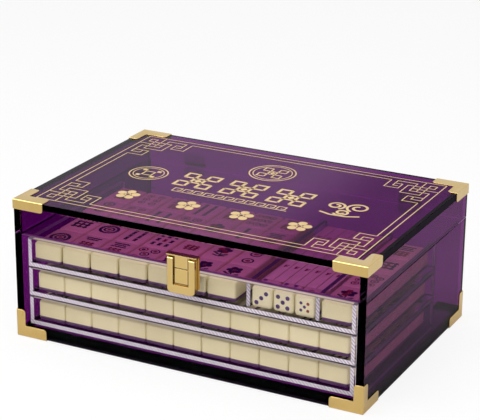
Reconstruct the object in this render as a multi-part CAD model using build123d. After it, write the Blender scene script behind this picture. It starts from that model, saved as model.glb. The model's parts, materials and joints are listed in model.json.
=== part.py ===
from build123d import *
from math import cos, floor, radians, sin
import os

# All sizes are in millimetres. The layout is drawn with X from the middle of the case,
# Y back from the front faces of the gold corners, and Z up from the undersides of the
# gold corners. Everything is shifted in Y at the end, so that the origin is the middle
# of the footprint.

# Tiles, which set the size of the trays and so of the case
tile_width = 29.9
tile_depth = 39.9
tile_height = 20.0
tile_back_thickness = 4.3
tile_chamfer = 1.1
tile_gap_x = 0.12
tile_gap_y = 0.2
tile_columns = 11
tile_rows = 4

# Trays
tray_wall = 5.5
tray_floor = 4.2
tray_headroom = 4.1
tray_end_clearance = 3.45
tray_row_clearance = 0.7
tray_corner = 1.6
pad_height = 2.0
pad_length = 16.0
pad_width = 5.0
pad_inset = 12.0
tray_names = ["lower", "middle", "upper"]

# Upper tray fittings
divider_thickness = 4.0
divider_end_gap = 0.1
finger_gap = 9.85
first_tile_offset = 0.5
single_column_gap = 1.0
single_column_end_gap = 2.1
dice_size = 21.0
dice_count = 3
dice_gap = 0.6
dice_corner = 2.0
dice_front_gap = 0.3
stick_thickness = 2.7
stick_layers = 7
stick_layer_gap = 0.1
stick_columns = 6
stick_gap = 0.8
stick_row_gap = 1.0
stick_end_gap = 1.3

# Acrylic shell
corner_sheet = 0.8
base_wall = 8.0
base_floor = 10.0
lid_wall = 6.5
lid_top = 6.5
lid_headroom = 27.8
lid_gap = 0.2
tray_side_clearance = 2.2
tray_front_clearance = 0.7
rear_compartment = 59.8
rim_above_trays = 5.3

# Corner guards, each a folded sheet
foot_front_arm = 34.0
foot_front_height = 11.4
foot_upright_height = 28.0
foot_upright_front_width = 10.0
foot_side_arm = 35.0
foot_side_height = 10.5
foot_upright_side_width = 9.5
foot_under_width = 11.0
cap_arm_along_x = 34.0
cap_arm_along_y = 33.0
cap_width_in_y = 14.2
cap_width_in_x = 10.5
cap_drop = 10.0
arm_end_radius = 3.2
corner_fold = 0.4

# Latch, whose heights are measured from the seam under the lid
latch_x = 2.6
latch_plate = 1.2
latch_plate_below_seam = 20.8
latch_plate_radius = 4.0
latch_plate_margin = 1.8
latch_lip_radius = 2.5
latch_lip_overhang = 0.2
latch_lip_rise = 4.0
latch_frame_width = 28.8
latch_frame_stand = 6.0
latch_frame_back_gap = 0.4
latch_frame_below_seam = 24.2
latch_frame_radius = 4.5
latch_frame_plate = 1.6
latch_skirt = 1.4
latch_bar_height = 8.2
latch_rail = 6.1
latch_gap = 0.3
latch_split_gap = 0.4
latch_pin_radius = 0.9
latch_pin_above_seam = 8.7
latch_pin_inset = 0.2
latch_ear_radius = 2.4
latch_rail_top = 1.5
latch_edge = 0.4
latch_lower_screw_drop = 11.1
latch_upper_screw_rise = 5.9
running_clearance = 0.05

# Hinges
hinge_offset_x = 123.0
hinge_width = 24.0
hinge_leaf = 1.2
hinge_leaf_height = 12.0
hinge_corner = 1.5
hinge_pin_radius = 1.0
knuckle_radius = 2.4
knuckle_shell_gap = 0.2
knuckle_gap = 0.3
base_knuckles = [0, 2]
lid_knuckles = [1]
lid_stop_angle = 101.1
stop_heel_thickness = 1.2
hinge_screw_spacing = 15.0
hinge_screw_drop = 7.5

# Screws
screw_shank_radius = 1.0
screw_shank_sides = 8
screw_head_radius = 1.8
screw_head_height = 0.8
screw_wall_left = 1.9
screw_hole_end_gap = 0.3

# Tray and tile positions that follow from the sizes above
tile_pitch_x = tile_width + tile_gap_x
tile_pitch_y = tile_depth + tile_gap_y
full_row = tile_columns * tile_pitch_x - tile_gap_x
tray_inner_half = full_row / 2 + tray_end_clearance
tray_half = tray_inner_half + tray_wall
tray_inner_depth = tile_rows * tile_pitch_y - tile_gap_y + 2 * tray_row_clearance
tray_height = tray_floor + tile_height + tray_headroom
tray_pitch = tray_height + pad_height

# Shell positions
inner_half = tray_half + tray_side_clearance
shell_half = inner_half + base_wall
outer_half = shell_half + corner_sheet
shell_front = corner_sheet
inner_front = shell_front + base_wall
tray_front = inner_front + tray_front_clearance
tray_inner_front = tray_front + tray_wall
tray_inner_back = tray_inner_front + tray_inner_depth
tray_back = tray_inner_back + tray_wall
inner_back = tray_back + rear_compartment
shell_back = inner_back + base_wall
outer_back = shell_back + corner_sheet
shell_underside = corner_sheet
floor_top = shell_underside + base_floor
base_rim = floor_top + len(tray_names) * tray_pitch + rim_above_trays
lid_bottom = base_rim + lid_gap
lid_ceiling = lid_bottom + lid_headroom
shell_top = lid_ceiling + lid_top
outer_top = shell_top + corner_sheet
lid_inner_half = shell_half - lid_wall
seam = base_rim + lid_gap / 2

# Hinge positions
hinge_axis_y = shell_back + knuckle_radius + knuckle_shell_gap
leaf_outer_y = shell_back + hinge_leaf
stop_turn = radians(lid_stop_angle)
stop_reach = hinge_axis_y - leaf_outer_y - stop_heel_thickness / 2 * sin(stop_turn)
stop_heel_length = stop_reach / -cos(stop_turn)
hinge_centres = {"left": -hinge_offset_x, "right": hinge_offset_x}

# Latch positions
latch_back_plane = shell_front - latch_plate
frame_front = latch_back_plane - latch_frame_stand
frame_plate_back = frame_front + latch_frame_plate
frame_back = latch_back_plane - latch_frame_back_gap
frame_half = latch_frame_width / 2
frame_hollow_half = frame_half - latch_skirt
frame_bottom = seam - latch_frame_below_seam
latch_window = latch_frame_width - 2 * latch_rail
window_half = latch_window / 2
window_bottom = frame_bottom + latch_bar_height
catch_half = window_half - latch_gap
catch_front = frame_plate_back + latch_gap
pin_y = frame_back - latch_ear_radius
pin_z = seam + latch_pin_above_seam
lip_bottom = pin_z + latch_lip_rise
lip_top = lip_bottom + latch_plate
lip_front = frame_front - latch_lip_overhang
plate_half = frame_half + latch_plate_margin
plate_bottom = seam - latch_plate_below_seam
latch_screw_offset = (catch_half + frame_hollow_half) / 2

centre_shift = -(lip_front + hinge_axis_y + stop_heel_length) / 2
toward_front = (0, -1, 0)
toward_back = (0, 1, 0)


def span(middle, half):
    """The two ends of a stretch about its middle."""
    return (middle - half, middle + half)


def block(x_span, y_span, z_span):
    """A box between two values on each axis."""
    spans = [sorted(pair) for pair in (x_span, y_span, z_span)]
    size = [high - low for low, high in spans]
    middle = [(high + low) / 2 for low, high in spans]
    return Pos(*middle) * Box(*size)


def rod(start, radius, length, along):
    """A cylinder from a start point along an axis."""
    section = Plane(start, z_dir=along) * Circle(radius)
    return extrude(section, length)


def prism(start, radius, length, along):
    """A rod with few flat sides, for the many small shanks and their holes."""
    section = Plane(start, z_dir=along) * RegularPolygon(radius, screw_shank_sides)
    return extrude(section, length)


def edges_at(solid, axis, at_axis, value):
    """The edges along one axis whose middles lie at a value on another axis."""
    found = []
    for edge in solid.edges().filter_by(axis):
        middle = edge @ 0.5
        if abs(getattr(middle, at_axis) - value) < 0.01:
            found.append(edge)
    return found


def screw_holes(points, along):
    """The holes that screws take through a plate and into the acrylic behind it."""
    depth = latch_plate + lid_wall - screw_wall_left + screw_hole_end_gap
    inward = tuple(Vector(*along) * -1)
    radius = screw_shank_radius + running_clearance
    return [prism(point, radius, depth, inward) for point in points]


def screws(points, along):
    """Round-headed screws whose heads stand on the points."""
    made = []
    inward = tuple(Vector(*along) * -1)
    for point in points:
        head = rod(point, screw_head_radius, screw_head_height, along)
        shank = prism(point, screw_shank_radius, latch_plate + lid_wall - screw_wall_left, inward)
        made.append(head + shank)
    return made


def strip_face(arm, width):
    """A flat strip from the origin with its one free corner rounded."""
    outline = make_face(Polyline((0, 0), (arm, 0), (arm, width), (0, width), close=True))
    free = [v for v in outline.vertices() if abs(v.X - arm) < 0.01 and abs(v.Y - width) < 0.01]
    return fillet(free, arm_end_radius)


def l_face(arm, width, upright, upright_width):
    """A flat L from the origin: a strip along X and the same, turned, along Y."""
    turned = strip_face(upright, upright_width).rotate(Axis.Z, 90).mirror(Plane.YZ)
    return strip_face(arm, width) + turned


def folded_corner(front_sheet, side_sheet, flat_sheet):
    """Three sheets folded round the corner at the origin, with the folds eased."""
    front_plane = Plane((0, 0, 0), x_dir=(1, 0, 0), z_dir=(0, -1, 0))
    side_plane = Plane((0, 0, 0), x_dir=(0, 1, 0), z_dir=(1, 0, 0))
    guard = extrude(front_plane * front_sheet, -corner_sheet)
    guard += extrude(side_plane * side_sheet, corner_sheet)
    guard += extrude(Plane.XY * flat_sheet, corner_sheet)
    folds = []
    for edge in guard.edges():
        middle = edge @ 0.5
        if sum(abs(value) < 0.01 for value in (middle.X, middle.Y, middle.Z)) >= 2:
            folds.append(edge)
    return chamfer(folds, corner_fold)


def corner_set(guard, at_top):
    """One guard mirrored onto the four corners of the base or of the lid."""
    placed = {}
    level = guard.mirror(Plane.XY).moved(Pos(0, 0, outer_top)) if at_top else guard
    for side, x in (("left", -outer_half), ("right", outer_half)):
        sided = level.mirror(Plane.YZ) if side == "right" else level
        front = sided.moved(Pos(x, 0, 0))
        placed["front_" + side] = front
        placed["back_" + side] = front.mirror(Plane.XZ).moved(Pos(0, outer_back, 0))
    return placed


def corner_guards():
    """The guards under the base and the caps on the lid."""
    foot = folded_corner(
        l_face(foot_front_arm, foot_front_height, foot_upright_height, foot_upright_front_width),
        l_face(foot_side_arm, foot_side_height, foot_upright_height, foot_upright_side_width),
        l_face(foot_front_arm, foot_under_width, foot_side_arm, foot_under_width),
    )
    cap = folded_corner(
        strip_face(cap_arm_along_x, cap_drop),
        strip_face(cap_arm_along_y, cap_drop),
        l_face(cap_arm_along_x, cap_width_in_y, cap_arm_along_y, cap_width_in_x),
    )
    made = {"bottom_corner_" + place: guard for place, guard in corner_set(foot, False).items()}
    made |= {"top_corner_" + place: guard for place, guard in corner_set(cap, True).items()}
    return made


# Fixing points, shared by the screws, their plates and the panels behind them
def latch_points(height):
    """Two screw points on the face of a latch plate."""
    return [(x, latch_back_plane, height) for x in span(latch_x, latch_screw_offset)]


def hinge_points(centre, side):
    """Two screw points on a hinge leaf; side is 1 for the lid and -1 for the base."""
    height = seam + side * hinge_screw_drop
    return [(x, leaf_outer_y, height) for x in span(centre, hinge_screw_spacing / 2)]


catch_points = latch_points(seam - latch_lower_screw_drop)
cap_points = latch_points(seam + latch_upper_screw_rise)
base_hinge_points = [p for centre in hinge_centres.values() for p in hinge_points(centre, -1)]
lid_hinge_points = [p for centre in hinge_centres.values() for p in hinge_points(centre, 1)]


def base_shell():
    """Side panels the full depth of the case, with the other panels between them."""
    z = (shell_underside, base_rim)
    depth = (shell_front, shell_back)
    across = (-inner_half, inner_half)
    front = block(across, (shell_front, inner_front), z)
    back = block(across, (inner_back, shell_back), z)
    return {
        "base_left_panel": block((-shell_half, -inner_half), depth, z),
        "base_right_panel": block((inner_half, shell_half), depth, z),
        "base_front_panel": front - screw_holes(catch_points, toward_front),
        "base_back_panel": back - screw_holes(base_hinge_points, toward_back),
        "bottom_panel": block(across, (inner_front, inner_back), (shell_underside, floor_top)),
    }


def lid_shell():
    """A full-size top panel on four walls."""
    z = (lid_bottom, lid_ceiling)
    depth = (shell_front, shell_back)
    across = (-lid_inner_half, lid_inner_half)
    front = block(across, (shell_front, shell_front + lid_wall), z)
    back = block(across, (shell_back - lid_wall, shell_back), z)
    return {
        "lid_top_panel": block((-shell_half, shell_half), depth, (lid_ceiling, shell_top)),
        "lid_left_wall": block((-shell_half, -lid_inner_half), depth, z),
        "lid_right_wall": block((lid_inner_half, shell_half), depth, z),
        "lid_front_wall": front - screw_holes(cap_points, toward_front),
        "lid_back_wall": back - screw_holes(lid_hinge_points, toward_back),
    }


def knuckle_ends(centre, index):
    """The X ends of one knuckle, counted from the left end of its hinge."""
    count = len(base_knuckles) + len(lid_knuckles)
    length = (hinge_width - (count - 1) * knuckle_gap) / count
    low = centre - hinge_width / 2 + index * (length + knuckle_gap)
    return (low, low + length)


def hinge_leaf_solid(centre, own, others, side):
    """One leaf with its own knuckles and room for the other leaf's."""
    far = seam + side * hinge_leaf_height
    near = seam + side * knuckle_gap
    leaf = block(span(centre, hinge_width / 2), (shell_back, leaf_outer_y), (near, far))
    leaf = chamfer(edges_at(leaf, Axis.Y, "Z", far), hinge_corner)
    for index in own:
        low, high = knuckle_ends(centre, index)
        leaf += rod((low, hinge_axis_y, seam), knuckle_radius, high - low, (1, 0, 0))
    for index in others:
        low, high = knuckle_ends(centre, index)
        room = high - low + 2 * knuckle_gap
        start = (low - knuckle_gap, hinge_axis_y, seam)
        leaf -= rod(start, knuckle_radius + knuckle_gap, room, (1, 0, 0))
    return leaf


def hinge_pieces():
    """Two butt hinges; the lid leaf has a heel that stops the lid past upright."""
    made = {}
    pins = []
    for name, centre in hinge_centres.items():
        start = (centre - hinge_width / 2, hinge_axis_y, seam)
        bore = rod(start, hinge_pin_radius + running_clearance, hinge_width, (1, 0, 0))
        base_leaf = hinge_leaf_solid(centre, base_knuckles, lid_knuckles, -1)
        lid_leaf = hinge_leaf_solid(centre, lid_knuckles, base_knuckles, 1)
        low, high = knuckle_ends(centre, lid_knuckles[0])
        heel_y = (hinge_axis_y, hinge_axis_y + stop_heel_length)
        lid_leaf += block((low, high), heel_y, span(seam, stop_heel_thickness / 2))
        made["hinge_base_leaf_" + name] = (
            base_leaf - bore - screw_holes(hinge_points(centre, -1), toward_back)
        )
        made["hinge_lid_leaf_" + name] = (
            lid_leaf - bore - screw_holes(hinge_points(centre, 1), toward_back)
        )
        pins.append(rod(start, hinge_pin_radius, hinge_width, (1, 0, 0)))
    made["hinge_pins"] = pins
    made["hinge_base_screws"] = screws(base_hinge_points, toward_back)
    made["hinge_lid_screws"] = screws(lid_hinge_points, toward_back)
    return made


def latch_plates():
    """The catch plate on the base, and the plate on the lid with its block and lip."""
    wide = span(latch_x, plate_half)
    narrow = span(latch_x, catch_half)
    plate_y = (latch_back_plane, shell_front)
    catch_y = (catch_front, latch_back_plane)
    catch = block(wide, plate_y, (plate_bottom, base_rim))
    catch = fillet(edges_at(catch, Axis.Y, "Z", plate_bottom), latch_plate_radius)
    catch += block(narrow, catch_y, (window_bottom + latch_gap, seam - latch_split_gap / 2))
    cap = block(wide, plate_y, (lid_bottom, lip_top))
    cap += block(narrow, catch_y, (seam + latch_split_gap / 2, lip_bottom))
    lip = block(wide, (lip_front, latch_back_plane), (lip_bottom, lip_top))
    cap += fillet(edges_at(lip, Axis.Z, "Y", lip_front), latch_lip_radius)
    return catch - screw_holes(catch_points, toward_front), cap - screw_holes(cap_points, toward_front)


def latch_frame_solid():
    """A front plate with a window open at the top, a skirt down each side and two ears."""
    wide = span(latch_x, frame_half)
    depth = (frame_front, frame_back)
    top = pin_z + latch_ear_radius
    outline = block(wide, depth, (frame_bottom, top))
    outline = fillet(edges_at(outline, Axis.Y, "Z", frame_bottom), latch_frame_radius)
    profile = block(wide, depth, (frame_bottom, pin_z))
    profile += rod((wide[0], pin_y, pin_z), latch_ear_radius, latch_frame_width, (1, 0, 0))
    profile += block(wide, (frame_front, frame_plate_back), (pin_z, pin_z + latch_rail_top))
    frame = outline & profile
    front_face = frame.faces().filter_by(Axis.Y).sort_by(Axis.Y)[0]
    frame = chamfer(front_face.edges(), latch_edge)
    through = (frame_front - latch_gap, frame_back + latch_gap)
    behind = (frame_plate_back, frame_back + latch_gap)
    above = top + latch_gap
    frame -= block(span(latch_x, window_half), through, (window_bottom, above))
    frame -= block(span(latch_x, frame_hollow_half), behind, (frame_bottom - latch_gap, above))
    return frame


def latch_pieces():
    """The latch, with the frame hung from the lid's plate on one pin."""
    catch, cap = latch_plates()
    pin_half = frame_half - latch_pin_inset
    pin = rod((latch_x - pin_half, pin_y, pin_z), latch_pin_radius, 2 * pin_half, (1, 0, 0))
    bore_start = (latch_x - plate_half, pin_y, pin_z)
    bore = rod(bore_start, latch_pin_radius + running_clearance, 2 * plate_half, (1, 0, 0))
    return {
        "latch_catch_plate": catch,
        "latch_catch_screws": screws(catch_points, toward_front),
        "latch_cap_plate": cap - bore,
        "latch_cap_screws": screws(cap_points, toward_front),
        "latch_pin": pin,
        "latch_frame": latch_frame_solid() - bore,
    }


# The upper tray, from its right end: one column of tiles, a divider, the bay for dice
# and sticks, a divider, and as many columns as then fit beside a gap for the fingers.
single_tile_x = tray_inner_half - single_column_end_gap - tile_width
divider_two_x = single_tile_x - single_column_gap - divider_thickness
bay_width = dice_count * (dice_size + dice_gap) + dice_gap
bay_start = divider_two_x - bay_width
divider_one_x = bay_start - divider_thickness
upper_room = divider_one_x - finger_gap + tray_inner_half - first_tile_offset
upper_columns = floor(upper_room / tile_pitch_x)
upper_pitch_x = upper_room / upper_columns


def tile_columns_of(name):
    """The left edges of the tile columns in one tray."""
    if name == "upper":
        first = -tray_inner_half + first_tile_offset
        return [first + column * upper_pitch_x for column in range(upper_columns)] + [single_tile_x]
    return [-full_row / 2 + column * tile_pitch_x for column in range(tile_columns)]


def tile_pieces():
    """One tile lying face up, as its face piece and its back, at the origin."""
    whole = block((0, tile_width), (0, tile_depth), (0, tile_height))
    whole = chamfer(whole.faces().sort_by(Axis.Z)[-1].edges(), tile_chamfer)
    lower = block((0, tile_width), (0, tile_depth), (0, tile_back_thickness))
    return whole - lower, lower


def tray_pieces(name, underside):
    """One open tray with its pads."""
    deck = underside + tray_floor
    z = (deck, underside + tray_height)
    depth = (tray_front, tray_back)
    outer_x = tray_half
    floor_plate = block(span(0, tray_half), depth, (underside, deck))
    left = block((-outer_x, -tray_inner_half), depth, z)
    right = block((tray_inner_half, outer_x), depth, z)
    across = span(0, tray_inner_half)
    pad_x = (tray_half + tray_inner_half) / 2
    pad_front = tray_front + pad_inset
    pad_back = tray_back - pad_inset - pad_length
    pads = [
        block(span(x, pad_width / 2), (y, y + pad_length), (underside - pad_height, underside))
        for x in (-pad_x, pad_x)
        for y in (pad_front, pad_back)
    ]
    prefix = name + "_tray_"
    return {
        prefix + "floor": chamfer(floor_plate.edges().filter_by(Axis.Z), tray_corner),
        prefix + "left_wall": chamfer(edges_at(left, Axis.Z, "X", -outer_x), tray_corner),
        prefix + "right_wall": chamfer(edges_at(right, Axis.Z, "X", outer_x), tray_corner),
        prefix + "front_wall": block(across, (tray_front, tray_inner_front), z),
        prefix + "back_wall": block(across, (tray_inner_back, tray_back), z),
        prefix + "pads": pads,
    }


def tray_tiles(name, deck):
    """The tiles of one tray: their face pieces and their backs."""
    face, back = tile_pieces()
    places = [
        Pos(x, tray_inner_front + tray_row_clearance + row * tile_pitch_y, deck)
        for x in tile_columns_of(name)
        for row in range(tile_rows)
    ]
    return {
        name + "_tile_faces": [face.moved(place) for place in places],
        name + "_tile_backs": [back.moved(place) for place in places],
    }


def upper_fittings(deck):
    """The upper tray's dividers, dice and stacked counting sticks."""
    z = (deck, deck + tile_height + tray_headroom)
    depth = (tray_inner_front + divider_end_gap, tray_inner_back - divider_end_gap)
    die = block((0, dice_size), (0, dice_size), (0, dice_size))
    die = chamfer(die.edges(), dice_corner)
    dice_y = tray_inner_front + dice_front_gap
    dice_step = dice_size + dice_gap
    dice = [
        die.moved(Pos(bay_start + dice_gap + number * dice_step, dice_y, deck))
        for number in range(dice_count)
    ]
    stick_width = (bay_width - stick_gap) / stick_columns - stick_gap
    first_y = dice_y + dice_size + stick_row_gap
    stick_length = (tray_inner_back - stick_end_gap - first_y - stick_row_gap) / 2
    stick = block((0, stick_width), (0, stick_length), (0, stick_thickness))
    sticks = [
        stick.moved(
            Pos(
                bay_start + stick_gap + column * (stick_width + stick_gap),
                first_y + row * (stick_length + stick_row_gap),
                deck + layer * (stick_thickness + stick_layer_gap),
            )
        )
        for column in range(stick_columns)
        for row in range(2)
        for layer in range(stick_layers)
    ]
    one_x = (divider_one_x, divider_one_x + divider_thickness)
    two_x = (divider_two_x, divider_two_x + divider_thickness)
    return {
        "upper_tray_divider_one": block(one_x, depth, z),
        "upper_tray_divider_two": block(two_x, depth, z),
        "dice": dice,
        "counting_sticks": sticks,
    }


parts = base_shell() | lid_shell() | corner_guards() | hinge_pieces() | latch_pieces()
for level, tray_name in enumerate(tray_names):
    tray_underside = floor_top + pad_height + level * tray_pitch
    parts |= tray_pieces(tray_name, tray_underside)
    parts |= tray_tiles(tray_name, tray_underside + tray_floor)
parts |= upper_fittings(tray_underside + tray_floor)

os.makedirs("parts", exist_ok=True)
for node, made in parts.items():
    solids = []
    for piece in made if isinstance(made, list) else [made]:
        solids += piece.solids()
    shifted = [solid.moved(Pos(0, centre_shift, 0)) for solid in solids]
    whole = shifted[0] if len(shifted) == 1 else Compound(children=shifted)
    export_step(whole, "parts/" + node + ".step")
print(len(parts), "nodes; case", 2 * outer_half, "x", outer_back, "x", outer_top)
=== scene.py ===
import json
import math
import random

import bmesh
import bpy
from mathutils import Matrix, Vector

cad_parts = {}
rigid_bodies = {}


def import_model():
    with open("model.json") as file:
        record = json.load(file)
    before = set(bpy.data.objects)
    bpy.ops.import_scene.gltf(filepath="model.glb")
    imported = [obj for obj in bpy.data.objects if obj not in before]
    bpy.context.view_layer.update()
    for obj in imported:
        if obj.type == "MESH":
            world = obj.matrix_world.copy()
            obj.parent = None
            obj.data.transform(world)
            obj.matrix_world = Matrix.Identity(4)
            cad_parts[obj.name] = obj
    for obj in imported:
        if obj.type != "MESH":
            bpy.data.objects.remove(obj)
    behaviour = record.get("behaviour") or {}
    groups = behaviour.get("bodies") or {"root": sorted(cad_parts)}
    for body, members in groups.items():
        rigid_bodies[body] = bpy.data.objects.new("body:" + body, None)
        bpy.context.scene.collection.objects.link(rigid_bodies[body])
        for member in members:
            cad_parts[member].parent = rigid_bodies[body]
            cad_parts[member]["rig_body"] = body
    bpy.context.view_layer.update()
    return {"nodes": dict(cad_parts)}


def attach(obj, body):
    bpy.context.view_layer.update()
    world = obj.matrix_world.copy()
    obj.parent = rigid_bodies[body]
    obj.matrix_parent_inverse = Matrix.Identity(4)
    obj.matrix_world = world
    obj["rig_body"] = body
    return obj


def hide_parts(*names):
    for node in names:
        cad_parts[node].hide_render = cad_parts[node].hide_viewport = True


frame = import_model()
nodes = frame["nodes"]
bodyOf = {name: node["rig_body"] for name, node in nodes.items()}
collection = bpy.context.scene.collection
mm = 0.001
frontFace = min(vert.co.y for vert in nodes["bottom_corner_front_left"].data.vertices)
trayNames = ("lower_tray", "middle_tray", "upper_tray")
squarely, mostly = 0.9, 0.5  # how far a face's normal lies along an axis
random.seed(7)


def at(x, y, z):  # millimetres from the middle of the length, the gold front face and the table
    return Vector((x * mm, y * mm + frontFace, z * mm))


# Material nodes


def newTree(name):
    material = bpy.data.materials.new(name)
    material.use_nodes = True
    material.node_tree.nodes.clear()
    return material, material.node_tree


def addNode(tree, kind, inputs=None, **settings):  # an input is a value or another node's output
    node = tree.nodes.new(kind)
    for key, value in settings.items():
        setattr(node, key, value)
    for key, value in (inputs or {}).items():
        if isinstance(value, bpy.types.NodeSocket):
            tree.links.new(value, node.inputs[key])
        else:
            node.inputs[key].default_value = value
    return node


def maths(tree, operation, *values):
    return addNode(tree, "ShaderNodeMath", dict(enumerate(values)), operation=operation).outputs[0]


def largest(tree, value, *others):
    for other in others:
        value = maths(tree, "MAXIMUM", value, other)
    return value


def ranged(tree, value, limits, **settings):
    node = addNode(tree, "ShaderNodeMapRange", dict(limits, Value=value), **settings)
    return node.outputs["Result"]


def mixed(tree, share, first, second):
    return addNode(tree, "ShaderNodeMixShader", {0: share, 1: first, 2: second}).outputs[0]


def coordsOf(tree, kind="Object"):
    return addNode(tree, "ShaderNodeTexCoord").outputs[kind]


def along(tree, axis, kind="Object"):
    return addNode(tree, "ShaderNodeSeparateXYZ", {0: coordsOf(tree, kind)}).outputs[axis]


def noiseOf(tree, scale, detail=3.0, stretch=(1, 1, 1)):
    place = addNode(tree, "ShaderNodeMapping", {"Vector": coordsOf(tree), "Scale": stretch})
    return addNode(tree, "ShaderNodeTexNoise", {
        "Vector": place.outputs["Vector"], "Scale": scale, "Detail": detail,
    }).outputs["Fac"]


def hatchOf(tree, scale):  # slanting saw marks
    return addNode(tree, "ShaderNodeTexWave", {
        "Vector": coordsOf(tree), "Scale": scale, "Distortion": 1.5, "Detail": 2.0,
        "Detail Scale": 1.0,
    }, wave_type="BANDS", bands_direction="DIAGONAL").outputs["Fac"]


rimWander = {"scale": 180.0, "width": 0.06}


def acrossOf(tree, front, back):  # nought to one from the front of a rim to its back, unevenly
    rise = ranged(tree, along(tree, "Y"), {"From Min": front, "From Max": back})
    noise, width = noiseOf(tree, rimWander["scale"]), rimWander["width"]
    return maths(tree, "ADD", rise, maths(tree, "MULTIPLY_ADD", noise, width, -width / 2))


def rampOf(tree, value, stops):
    node = addNode(tree, "ShaderNodeValToRGB", {"Fac": value})
    while len(node.color_ramp.elements) < len(stops):
        node.color_ramp.elements.new(0.5)
    for element, (place, colour) in zip(node.color_ramp.elements, stops):
        element.position = place
        element.color = (*colour, 1)
    return node.outputs["Color"]


def bumpOf(tree, value, strength, distance):
    return addNode(tree, "ShaderNodeBump", {
        "Height": value, "Strength": strength, "Distance": distance,
    }).outputs["Normal"]


def facing(tree, axis):  # one on faces square to the axis of the piece, else nought
    turned = maths(tree, "ABSOLUTE", along(tree, axis, "Normal"))
    return maths(tree, "GREATER_THAN", turned, squarely)


# Acrylic: clear to the lamps, and tinted to the eye at each surface

acrylicMake = {
    "drift": (7.0, 2.0), "waves": (11.0, 1.0), "waveDepth": 0.0004,  # scale and detail
    "edgeSheen": 0.08, "lampColour": (0.97, 0.965, 0.97, 1),
}
driftStops = (0.3, 0.7)  # where a drifting colour is all the first, and all the second


def acrylic(name, look):
    material, tree = newTree(name)
    drift = noiseOf(tree, *acrylicMake["drift"])
    tint = rampOf(tree, drift, list(zip(driftStops, (look["thin"], look["thick"]))))
    waves = noiseOf(tree, *acrylicMake["waves"])
    polish = {
        "Roughness": look["roughness"], "IOR": look["ior"],
        "Normal": bumpOf(tree, waves, look["waves"], acrylicMake["waveDepth"]),
    }
    glass = addNode(tree, "ShaderNodeBsdfPrincipled", dict(
        polish, **{"Base Color": tint, "Transmission Weight": 1.0, "Specular Tint": (0, 0, 0, 1)}))
    clear = addNode(tree, "ShaderNodeBsdfRefraction", dict(polish, Color=tint))
    sheen = look["sheen"]
    if look.get("sheenAxis"):  # painted reflection: the sheen lies on one pair of faces, weaker on the edges, and fades along the length so that it is weaker towards the right
        flat = {"To Min": acrylicMake["edgeSheen"], "To Max": sheen}
        level = ranged(tree, facing(tree, look["sheenAxis"]), flat)
        length = along(tree, "X")
        fade = ranged(tree, length, look["sheenFade"], interpolation_type="SMOOTHSTEP")
        sheen = maths(tree, "MULTIPLY", level, fade)
    seen = mixed(tree, sheen, clear.outputs["BSDF"], glass.outputs["BSDF"])
    lit = addNode(tree, "ShaderNodeBsdfTransparent", {"Color": acrylicMake["lampColour"]})
    rays = addNode(tree, "ShaderNodeLightPath").outputs
    hidden = [facing(tree, axis) for axis in look.get("clearAxis", "")]  # rims left unseen
    passed = largest(tree, rays["Is Shadow Ray"], rays["Is Diffuse Ray"], *hidden)
    depth = addNode(tree, "ShaderNodeVolumeAbsorption", {
        "Color": (*look["kept"], 1), "Density": look["density"],
    })
    addNode(tree, "ShaderNodeOutputMaterial", {
        "Surface": mixed(tree, passed, seen, lit.outputs["BSDF"]),
        "Volume": depth.outputs["Volume"],
    })
    return material


purpleLook = {
    "thin": (0.425, 0.12, 0.465), "thick": (0.45, 0.13, 0.49), "roughness": 0.015, "ior": 1.49,
    "sheen": 0.1, "waves": 0.02, "kept": (0.5, 0.1, 0.5), "density": 12.0,
}
clearLook = {
    "thin": (0.97, 0.96, 0.97), "thick": (0.995, 0.99, 0.995), "roughness": 0.02, "ior": 1.49,
    "sheen": 0.15, "waves": 0.02, "kept": (0.7, 0.6, 0.7), "density": 4.0,
}
purpleAcrylic = acrylic("purple_acrylic", purpleLook)
# Copies of the one purple acrylic with light and shade painted in: the left sheets are tinted
# darker, painted shade; the right sheets are tinted lighter with a stronger sheen, painted light
# and reflection; the lid's front wall is tinted lighter, painted light on the tiles seen through
# it; the top's sheen is painted as well.
topAcrylic = acrylic("purple_acrylic_top", dict(
    purpleLook, sheen=0.39, sheenAxis="Z",
    sheenFade={"From Min": 0.03, "From Max": 0.12, "To Min": 1.0, "To Max": 0.4}))
rightLitAcrylic = acrylic("purple_acrylic_right", dict(
    purpleLook, thin=(0.45, 0.2, 0.47), thick=(0.475, 0.215, 0.495), sheen=0.25, clearAxis="Z"))
leftShadedAcrylic = acrylic("purple_acrylic_left", dict(
    purpleLook, thin=(0.36, 0.068, 0.38), thick=(0.39, 0.078, 0.41), clearAxis="Z"))
baseLeftShadedAcrylic = acrylic("purple_acrylic_base_left", dict(
    purpleLook, thin=(0.3, 0.056, 0.32), thick=(0.33, 0.064, 0.35), clearAxis="Z"))
frontLitAcrylic = acrylic("purple_acrylic_front", dict(
    purpleLook, thin=(0.55, 0.265, 0.585), thick=(0.58, 0.285, 0.61), clearAxis="Z"))
backAcrylic = acrylic("purple_acrylic_back", dict(
    purpleLook, ior=1.05, thin=(0.55, 0.235, 0.55), thick=(0.575, 0.25, 0.575), clearAxis="XZ"))
leafAcrylic = acrylic("purple_acrylic_leaf", dict(
    purpleLook, ior=1.05, thin=(0.84, 0.7, 0.84), thick=(0.87, 0.74, 0.87)))
clearAcrylic = acrylic("clear_acrylic", clearLook)
innerAcrylic = acrylic("clear_acrylic_inner", dict(clearLook, ior=1.06))
endedAcrylic = acrylic("clear_acrylic_ended", dict(clearLook, clearAxis="XZ"))


# Opaque finishes: a colour that drifts, with a fine bump and uneven polish

solidMake = {
    "driftDetail": 4.0, "polishFiner": 2.5, "bumpScale": 900.0, "bumpDepth": 0.0001,
}


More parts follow.
